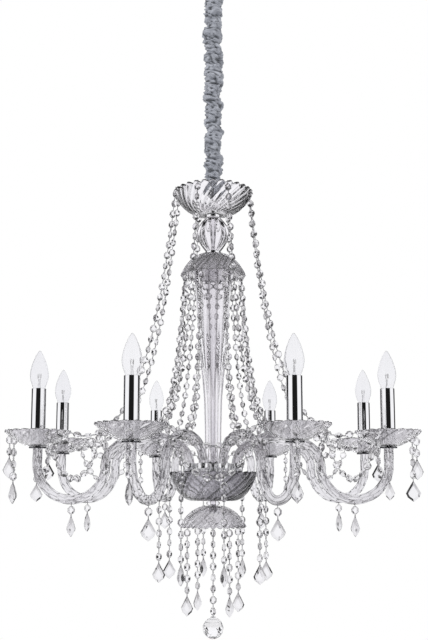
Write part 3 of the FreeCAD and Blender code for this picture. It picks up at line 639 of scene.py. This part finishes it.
for k in range(armCount):
    top = tubeFeet[k] + (0, 0, tubeTall)
    body = f"bulb_{k + 1}"
    turned(f"bulb_glass_{k + 1}", body, bulbShell, 48, [top], bulbGlass, "bulb_glass", body)
    turned(f"bulb_cap_{k + 1}", body, capProfile, 32, [top], capMetal, body=body, closed=False)
    stem = meshPiece(f"bulb_stem_{k + 1}", stemPoints + top, stemFaces, bulbGlass)
    place(stem, body, "bulb_glass", body)
    ownWires = turnAbout(wirePoints, filamentSize["turnEach"] * k) + top
    wires = meshPiece(f"bulb_filament_{k + 1}", ownWires, wireFaces, filamentWire)
    place(wires, body, "polished_chrome", body)

holderProfile = rounded([(0.0004, 0.0003), (0.011, 0.0003), (0.011, 0.0945), (0.0078, 0.0945),
                         (0.0078, 0.0698), (0.0004, 0.0698)], 0.0008, 3)
turned("lamp_holder_cups", "lamp_holders", holderProfile, 40, tubeFeet, holderPlastic, "holder_plastic")
print("bulbs done")


beadSize = {"radius": 0.0072, "long": 0.0079, "thick": 0.004, "table": 0.58, "girdle": 0.0008}
kiteSize = {"height": 0.038, "half": 0.0135, "thick": 0.0048, "table": 0.62, "girdle": 0.0008,
            "shortest": 0.03}
pinSize = {"reach": 0.0039, "half": 0.0009, "wire": 0.00055, "gap": 0.001}


def cutStone(outline, middle, size):
    # four rings of eight points: the outline at both edges of the girdle, and drawn in towards a middle for
    # the table on each face; Z is against the string's way
    inner = middle + (outline - middle) * size["table"]
    thick, girdle = size["thick"], size["girdle"]
    rings = []
    for flat, y in ((inner, -thick), (outline, -girdle), (outline, girdle), (inner, thick)):
        rings.append(np.stack([flat[:, 0], np.full(8, y), flat[:, 1]], axis=1))
    return np.concatenate(rings), tubeFaces(4, 8)


def beadTemplate():
    # an octagon, cut on both sides
    t = roundAngles(8) + math.pi / 8
    outline = np.stack([beadSize["radius"] * np.cos(t), beadSize["long"] * np.sin(t)], axis=1)
    return cutStone(outline, np.zeros(2), beadSize)


def beadPaintedShade(count, rng):
    # painted shade: the slanted faces on one side of each bead are dark, as deep as chance has it, and the
    # tables a little, standing in for the dark the cut glass refracts
    across = np.tile(np.cos(tau * (np.arange(8) + 1) / 8), 3)
    side = np.where(rng.random(count) < 0.7, 1, -1)[:, None]
    dark = np.clip((side * across[None, :] - 0.1) * 2, 0, 1) * rng.uniform(0.3, 1.0, (count, 1))
    return np.concatenate([dark, rng.uniform(0, 0.1, (count, 2))], axis=1)


def kitePaintedShade(count):
    # painted shade: a grey edge along the long upper sides, less at the lower ones, the tables clear
    edge = np.tile([0.8, 0.6, 0.3, 0.2, 0.2, 0.3, 0.6, 0.8], 3)
    return np.tile(np.concatenate([edge, [0.06, 0.06]]), (count, 1))


def kiteTemplate():
    # a pointed shield: long straight sides down to the widest place, short ones to the tip
    w, h = kiteSize["half"], kiteSize["height"]
    right = [(0.5 * w, -0.29 * h), (w, -0.6 * h), (0.76 * w, -0.79 * h)]
    outline = np.array([(0, 0), *right, (0, -h), *[(-x, z) for x, z in right[::-1]]])
    return cutStone(outline, np.array([0, -0.6 * h]), kiteSize)


def wireLoop(path, out, wire, sides):
    # a round wire on a closed path in X and Z: its rings spread along the path's outward way and along Y
    t = roundAngles(sides)
    x = path[:, :1] + out[:, :1] * wire * np.cos(t)
    z = path[:, 1:] + out[:, 1:] * wire * np.cos(t)
    points = np.stack([x, wire * np.sin(t) + 0 * x, z], axis=-1).reshape(-1, 3)
    return points, gridFaces(len(path), sides, closeRows=True).tolist()


def pinTemplate():
    # a long narrow loop of wire through the holes of two neighbours
    t = roundAngles(10)
    out = np.stack([np.cos(t), np.sin(t)], axis=1)
    return wireLoop(out * (pinSize["half"], pinSize["reach"]), out, pinSize["wire"], 4)


def cadCrystals(node):
    # Each crystal of the solids is eight triangles. Its tips are its two points farthest apart, and its width
    # is the way from their line to the point farthest from it.
    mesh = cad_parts[node].data
    points = np.empty(len(mesh.vertices) * 3)
    mesh.vertices.foreach_get("co", points)
    corners = np.empty(len(mesh.loops), dtype=np.int64)
    mesh.loops.foreach_get("vertex_index", corners)
    groups = points.reshape(-1, 3)[corners].reshape(-1, 24, 3)
    each = np.arange(len(groups))
    lengths = np.linalg.norm(groups[:, :, None] - groups[:, None], axis=-1)
    apart = lengths.reshape(len(groups), -1).argmax(axis=1)
    a, b = groups[each, apart // 24], groups[each, apart % 24]
    upside = (a[:, 2] < b[:, 2])[:, None]
    top, foot = np.where(upside, b, a), np.where(upside, a, b)
    z = (top - foot) / np.linalg.norm(top - foot, axis=1, keepdims=True)
    off = groups - top[:, None]
    off -= (off @ z[:, :, None]) * z[:, None]
    x = off[each, np.linalg.norm(off, axis=-1).argmax(axis=1)]
    x /= np.linalg.norm(x, axis=1, keepdims=True)
    return top, foot, np.stack([x, np.cross(z, x), z], axis=1)


def copies(template, places, frames):
    # the template's points times each frame's rows, plus each place
    points, faces = template
    spread = np.einsum("mk,nkj->nmj", points, frames) + places[:, None]
    many = [[i + n * len(points) for i in face] for n in range(len(places)) for face in faces]
    return spread.reshape(-1, 3), many


def crystalPiece(name, template, places, frames, faceShade, material, body, node):
    # copies of a template as one piece, with a painted shade value for each face
    points, faces = copies(template, places, frames)
    piece = meshPiece(name, points, faces, material, smooth=False)
    setValues(piece, "paintedShade", faceShade, "FACE")
    return place(outward(piece), body, "cut_crystal", node)


def pinPiece(name, places, frames, body, node):
    # a wire loop at each place, a quarter turn from its crystal
    points, faces = copies(pinTemplate(), places, frames[:, [1, 0, 2]])
    return place(outward(meshPiece(name, points, faces, pinWire)), body, "cut_crystal", node)


shadeTurns = np.random.default_rng(21)
for node in ("crown_strands", "mid_strands", "rim_swags", "rim_drops", "lower_strings", "ball_string"):
    body = "ball_pendant" if node == "ball_string" else "fixture"
    top, foot, frames = cadCrystals(node)
    isKite = np.linalg.norm(top - foot, axis=1) > kiteSize["shortest"]
    isBead = ~isKite
    crystalPiece(node + "_beads", beadTemplate(), (top + foot)[isBead] / 2, frames[isBead],
                 beadPaintedShade(isBead.sum(), shadeTurns), cutCrystal, body, node)
    if isKite.any():
        crystalPiece(node + "_kites", kiteTemplate(), top[isKite], frames[isKite], kitePaintedShade(isKite.sum()),
                     kiteCrystal, body, node)
    away = np.linalg.norm(foot[:, None] - top[None], axis=-1).min(axis=1)
    lastOnes = (away > pinSize["gap"]) & isBead  # beads whose foot no other crystal hangs from
    pinPiece(node + "_pins", np.concatenate([top, foot[lastOnes]]),
             np.concatenate([frames, frames[lastOnes]]), body, node)


ballSize = {"radius": 0.0205, "sides": 14, "rows": (-72, -50, -28, -6, 16, 38, 60, 78)}


def ballPoints():
    # rings of flat facets on a sphere at some latitudes, each half a step round from the last
    radius, sides, rows = ballSize["radius"], ballSize["sides"], len(ballSize["rows"])
    latitude = np.radians(ballSize["rows"])[:, None]
    t = roundAngles(sides) + (np.arange(rows) % 2)[:, None] * math.pi / sides
    middle = (0, 0, topOf("crystal_ball") - radius)
    return spun(radius * np.cos(latitude), t, radius * np.sin(latitude)) + middle


ballFaces = tubeFaces(len(ballSize["rows"]), ballSize["sides"])
quads, ends = np.array(ballFaces[:-2]), ballFaces[-2:]
triangles = np.concatenate([quads[:, [0, 1, 2]], quads[:, [0, 2, 3]]]).tolist() + ends
ball = meshPiece("crystal_ball_cut", ballPoints(), triangles, cutCrystal, smooth=False)
place(outward(ball), "ball_pendant", "cut_crystal", "crystal_ball")
capOutline = [(0, 0.0018), (0.0042, 0.0018), (0.005, 0.0004), (0.0046, -0.0002), (0, -0.0002)]
turned("ball_cap", "crystal_ball", capOutline, 32, [(0, 0, topOf("crystal_ball"))], body="ball_pendant",
       closed=False)
print("crystals done")


linkSize = {"radius": 0.0082, "straight": 0.014, "wire": 0.00175, "slack": 0.0003}
loopSize = {"radius": 0.011, "wire": 0.00225}


def linkPoints(radius, straight, wire, topZ, quarterTurn):
    # a wire carried round a path of two half circles and two straights, whose top is at a height
    half = np.linspace(0, math.pi, 17)
    out = np.stack([np.cos(half), np.sin(half)], axis=1)
    out = np.concatenate([out, -out])
    path = radius * out - (0, radius)
    path[len(half):, 1] -= straight
    points, faces = wireLoop(path, out, wire, 14)
    return points[:, [1, 0, 2] if quarterTurn else [0, 1, 2]] + (0, 0, topZ), faces


def chainPiece(name, node, body, first):
    # as many links as the node's height takes, from its top down, each a quarter turn from the last
    radius, straight, wire = linkSize["radius"], linkSize["straight"], linkSize["wire"]
    pitch = straight + 2 * radius - 2 * wire - linkSize["slack"]
    count = round((heightOf(node) - 2 * (radius + wire) - straight) / pitch) + 1
    topZ = topOf(node) - wire
    links = [linkPoints(radius, straight, wire, topZ - k * pitch, (k + first) % 2 == 0) for k in range(count)]
    points, faces = joinMeshes(links)
    place(outward(meshPiece(name, points, faces, chrome)), body, "polished_chrome", node)


def nutAndLoop(name, node, body, upright, quarterTurn):
    # a loop at one end of the node's box, at the top if upright, and a turned nut beyond it
    radius, wire = loopSize["radius"], loopSize["wire"]
    way = -1 if upright else 1
    middle = topOf(node) - radius - wire if upright else footOf(node) + radius + wire
    loop = linkPoints(radius, 0.0, wire, middle + radius, quarterTurn)
    corners = np.array([(0, 0.0116), (0.006, 0.0116), (0.0118, 0.0145), (0.012, 0.0215), (0, 0.0222)])
    outline = rounded(corners * (1, way) + (0, middle), 0.001, 3)
    outline[:, 0] = np.maximum(outline[:, 0], 0.0002)
    nut = (turnedPoints(outline, 48), gridFaces(len(outline), 48, closeRows=True).tolist())
    points, faces = joinMeshes([loop, nut])
    place(outward(meshPiece(name, points, faces, chrome)), body, "polished_chrome", node)


chainPiece("first_chain_link", "top_link", "first_link", 0)
chainPiece("hidden_chain", "chain_links", "chain", 1)
nutAndLoop("canopy_loop", "collar_loop", "ceiling_plate", False, False)
nutAndLoop("crown_loop_nut", "crown_loop", "fixture", True, True)


canopySize = {"radius": 0.06, "depth": 0.052, "lip": 0.005, "neck": 0.015, "wall": 0.0012, "bore": 0.0055}


def canopyProfile():
    # a straight lip, then a quarter ellipse down to the neck, a small flat and the hole, the same inside
    c = canopySize
    q = np.linspace(0, math.pi / 2, 24)
    reach = c["radius"] - c["neck"]
    bowl = np.stack([c["radius"] - reach * (1 - np.cos(q)), -c["lip"] - (c["depth"] - c["lip"]) * np.sin(q)],
                    axis=1)
    outer = np.concatenate([[(c["radius"], 0)], bowl, [(c["bore"], -c["depth"])]])
    inner = np.stack([np.maximum(outer[:, 0] - c["wall"], c["bore"]), np.minimum(outer[:, 1] + c["wall"], 0)],
                     axis=1)
    return np.concatenate([outer, inner[::-1]])


turned("ceiling_canopy_spun", "ceiling_canopy", canopyProfile(), 96, body="ceiling_plate")


sleeveSize = {"radius": 0.0146, "bunch": 0.0018, "bulge": 0.0056, "bulgePitch": 0.019, "crease": 0.0048,
              "pitch": 0.0085, "deepest": 1.1, "crumple": 0.001, "least": 0.0127, "most": 0.0218,
              "around": 96, "along": 520, "flat": (0.115, 0.52), "cloth": 0.0006, "weave": 8, "seed": 5}


def sleevePoints():
    # The radius is a mean, plus slow bunches and one-sided bulges, less creases. A bulge is a bell curve of
    # the height times half a turn's cosine. A crease is a bell curve of the height over a line that wanders
    # round the sleeve as two sines, and fades in and out round it as a third. Crumples run aslant: twice a
    # sine's size less one, round on top and sharp in the valley. The painted shade is the creases plus a
    # half,
    # less the crumples: darker in the creases and crumple valleys, lighter on the crumple tops.
    size = sleeveSize
    low, tall = footOf("chain_sleeve"), heightOf("chain_sleeve")
    z = np.linspace(0, tall, size["along"])[:, None]
    theta = roundAngles(size["around"])
    rng = np.random.default_rng(size["seed"])
    slow = np.sin(tau * z / 0.047 + 1.3 * np.sin(theta + 0.4))
    quick = 0.8 * np.sin(tau * z / 0.029 + 2.0 + 1.7 * np.sin(theta + 2.1))
    radius = size["radius"] + size["bunch"] * (slow + quick)
    for height in np.arange(0.012, tall, size["bulgePitch"]):
        height += rng.uniform(-0.006, 0.006)
        side = 0.5 + 0.5 * np.cos(theta - rng.uniform(0, tau))
        bell = np.exp(-((z - height - 0.003 * np.cos(theta)) / rng.uniform(0.006, 0.011)) ** 4)
        radius = radius + size["bulge"] * rng.uniform(-0.35, 1) * side * bell
    creases = 0 * radius
    for height in np.arange(0.016, tall - 0.004, size["pitch"]):
        height += rng.uniform(-0.45, 0.45) * size["pitch"]
        wander = rng.uniform(0.0005, 0.005) * np.sin(theta + rng.uniform(0, tau))
        wander = wander + rng.uniform(0.0003, 0.0025) * np.sin(2 * theta + rng.uniform(0, tau))
        swing = rng.uniform(0.3, 0.9) * np.sin(rng.integers(1, 4) * theta + rng.uniform(0, tau))
        fade = np.clip(0.55 + swing, 0, 1)
        width = rng.uniform(0.0008, 0.002)
        creases = creases + rng.uniform(0.5, 1) * fade * np.exp(-((z - height - wander) / width) ** 2)
    creases = np.minimum(creases, size["deepest"])
    crumples = 0 * radius
    for ways in (-4, -3, -2, 2, 3, 6):
        turns = tau * z / rng.uniform(0.02, 0.05) + rng.integers(1, 4) * theta + rng.uniform(0, tau)
        slant = 0.5 * (ways * theta + tau * z / rng.uniform(0.01, 0.03)) + 1.4 * np.sin(turns)
        crumples = crumples + size["crumple"] * (2 * np.abs(np.sin(slant)) - 1)
    radius = np.clip(radius + 0.0004 + crumples - size["crease"] * creases, size["least"], size["most"])
    creaseShade = creases + 0.5 - crumples / 0.0032
    sway = 0.0012 * np.sin(tau * z / 0.13 + 0.4) + 0.0012 * np.sin(tau * z / 0.058)
    x = radius * np.cos(theta) + sway
    y = radius * np.sin(theta) + 0.6 * sway
    return np.stack([x, y, low + z + 0 * theta], axis=-1).reshape(-1, 3), creaseShade


def sleeve():
    # the folded tube as one sheet with a cloth's thickness; its map runs over the flat cloth
    points, creaseShade = sleevePoints()
    along, around = creaseShade.shape
    piece = meshPiece("chain_sleeve_satin", points, gridFaces(along, around), sleeveSatin)
    # painted shade in the creases and crumple valleys, lighter on the crumple tops
    setValues(piece, "paintedCreaseShade", np.minimum(1.3 * creaseShade - 0.15, 0.9))
    layer = piece.data.uv_layers.new(name="cloth")
    corners = np.empty(len(piece.data.loops), dtype=np.int64)
    piece.data.loops.foreach_get("vertex_index", corners)
    first = corners.reshape(-1, 4) % around
    wraps = (first.max(axis=1) - first.min(axis=1) > 1)[:, None] & (first == 0)
    across = np.where(wraps.ravel(), 1.0, corners % around / around)
    share = np.stack([across, corners // around / along], axis=1)
    layer.data.foreach_set("uv", (share * sleeveSize["flat"] * sleeveSize["weave"]).ravel())
    shell = piece.modifiers.new("cloth_thickness", "SOLIDIFY")
    shell.thickness = sleeveSize["cloth"]
    shell.offset = -1
    return piece


sleevePiece = place(sleeve(), "chain", "sleeve_satin", "chain_sleeve")
for node, metal in (("mounting_crossbar", chrome), ("threaded_nipple", chrome), ("stem_rod", rodSteel)):
    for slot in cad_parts[node].material_slots:
        slot.material = metal
print("ceiling plate and sleeve done")


def makeWorld():
    # White where the camera looks. For polished metal a studio with a dark way behind the camera and dark
    # gaps between white screens. For light through glass a white surround with dark ceiling, floor and gaps.
    world = bpy.data.worlds.new("studio")
    bpy.context.scene.world = world
    world.use_nodes = True
    tree = world.node_tree
    coords = addNode(tree, "TexCoord", {})
    split = addNode(tree, "SeparateXYZ", {"Vector": coords.outputs["Generated"]})

    def maths(operation, *values):
        # a sum, product or other operation on its values
        node = tree.nodes.new("ShaderNodeMath")
        node.operation = operation
        feed(node, dict(enumerate(values)))
        return node.outputs["Value"]

    def ramp(source, stops):
        # a grey level that goes from stop to stop, a little blue
        node = addNode(tree, "ValToRGB", {"Fac": source})
        elements = node.color_ramp.elements
        while len(elements) < len(stops):
            elements.new(0.5)
        for element, (position, level) in zip(elements, stops):
            element.position = position
            element.color = (level, level, level * 1.01, 1)
        return node.outputs["Color"]

    towards = maths("MULTIPLY", split.outputs["Y"], -1.0)
    away = maths("ABSOLUTE", maths("ARCTAN2", split.outputs["X"], towards))
    fromCamera = maths("DIVIDE", away, math.pi)
    height = maths("ADD", maths("MULTIPLY", split.outputs["Z"], 0.5), 0.5)
    screens = ramp(fromCamera, [(0, 0.012), (0.19, 0.012), (0.215, 1), (0.55, 1), (0.58, 0.02),
                                (0.84, 0.02), (0.88, 1), (1, 1)])
    room = ramp(height, [(0, 0.25), (0.1, 0.55), (0.16, 1), (0.8, 1), (0.88, 0.35), (1.0, 0.7)])
    gaps = ramp(maths("ABSOLUTE", maths("COSINE", maths("MULTIPLY", away, 4.0))),
                [(0, 0.03), (0.16, 0.03), (0.3, 1), (1, 1)])
    surround = ramp(height, [(0, 0.02), (0.22, 0.03), (0.3, 1), (0.72, 1), (0.8, 0.03), (1.0, 0.1)])

    rays = addNode(tree, "LightPath", {}).outputs
    studio = mixed(tree, screens, room, 1.0, "MULTIPLY")
    through = mixed(tree, gaps, surround, 1.0, "MULTIPLY")
    result = mixed(tree, (0.95, 0.95, 0.96, 1), studio, rays["Is Glossy Ray"])
    result = mixed(tree, result, through, rays["Is Transmission Ray"])
    result = mixed(tree, result, (1, 1, 1, 1), rays["Is Camera Ray"])
    feed(tree.nodes["Background"], {"Color": result, "Strength": 1.0})


floorSize = {"radius": 6.0, "height": -2.6, "sides": 64}


def makeFloor():
    # a wide pale disc well below the ball; the camera sees it white
    radius, height, sides = floorSize["radius"], floorSize["height"], floorSize["sides"]
    points = np.concatenate([[(0, 0, height)], turnedPoints([(radius, height)], sides)])
    faces = [[0, k + 1, (k + 1) % sides + 1] for k in range(sides)]
    material, tree, shader = newMaterial("studio_floor")
    feed(shader, {"Base Color": (0.9, 0.9, 0.9, 1), "Roughness": 0.9})
    glow = addNode(tree, "Emission", {"Color": (1, 1, 1, 1)})
    rays = addNode(tree, "LightPath", {})
    mix = addNode(tree, "MixShader", {"Fac": rays.outputs["Is Camera Ray"], 1: shader.outputs["BSDF"],
                                      2: glow.outputs["Emission"]})
    feed(tree.nodes["Material Output"], {"Surface": mix.outputs["Shader"]})
    floor = meshPiece("floor", points, faces, material, smooth=False)


lampSize = {"place": (-2.2, -2.4, 0.6), "aim": (0, 0, -0.8), "size": 1.6, "power": 26}


def makeLamp():
    # a soft square light turned to its aim, seen by dull surfaces only
    lamp = bpy.data.lights.new("soft_left", "AREA")
    lamp.size = lampSize["size"]
    lamp.energy = lampSize["power"]
    thing = bpy.data.objects.new("soft_left", lamp)
    thing.location = lampSize["place"]
    way = np.array(lampSize["aim"]) - np.array(lampSize["place"])
    lean = math.acos(-way[2] / np.linalg.norm(way))
    thing.rotation_euler = (lean, 0, math.atan2(way[1], way[0]) - math.pi / 2)
    thing.visible_glossy = False
    thing.visible_transmission = False
    thing.visible_camera = False
    bpy.context.scene.collection.objects.link(thing)


# focal, frame and centre in pixels of the photo, tilt in degrees, and the camera's height below the bobeches
cameraSize = {"distance": 1.8, "below": 0.083, "tilt": 7.2, "focal": 902, "frameHeight": 640,
              "frameWidth": 428, "centreX": 213.1, "centreY": 378, "sensor": 36.0, "nearest": 0.05}


def makeCamera():
    # looks up by its tilt; the lens and shifts put the picture's centre where the photo has it
    size = cameraSize
    data = bpy.data.cameras.new("camera")
    data.sensor_fit = "VERTICAL"
    data.sensor_height = size["sensor"]
    data.lens = size["focal"] * size["sensor"] / size["frameHeight"]
    data.shift_y = (size["centreY"] - size["frameHeight"] / 2) / size["frameHeight"]
    data.shift_x = (size["frameWidth"] / 2 - size["centreX"]) / size["frameHeight"]
    data.clip_start = size["nearest"]
    thing = bpy.data.objects.new("camera", data)
    thing.location = (0, -size["distance"], bobecheFoot - size["below"])
    thing.rotation_euler = (math.radians(90 + size["tilt"]), 0, 0)
    bpy.context.scene.collection.objects.link(thing)
    bpy.context.scene.camera = thing


makeWorld()
makeFloor()
makeLamp()
makeCamera()
bpy.context.scene.view_settings.view_transform = "Standard"
print("stage done")
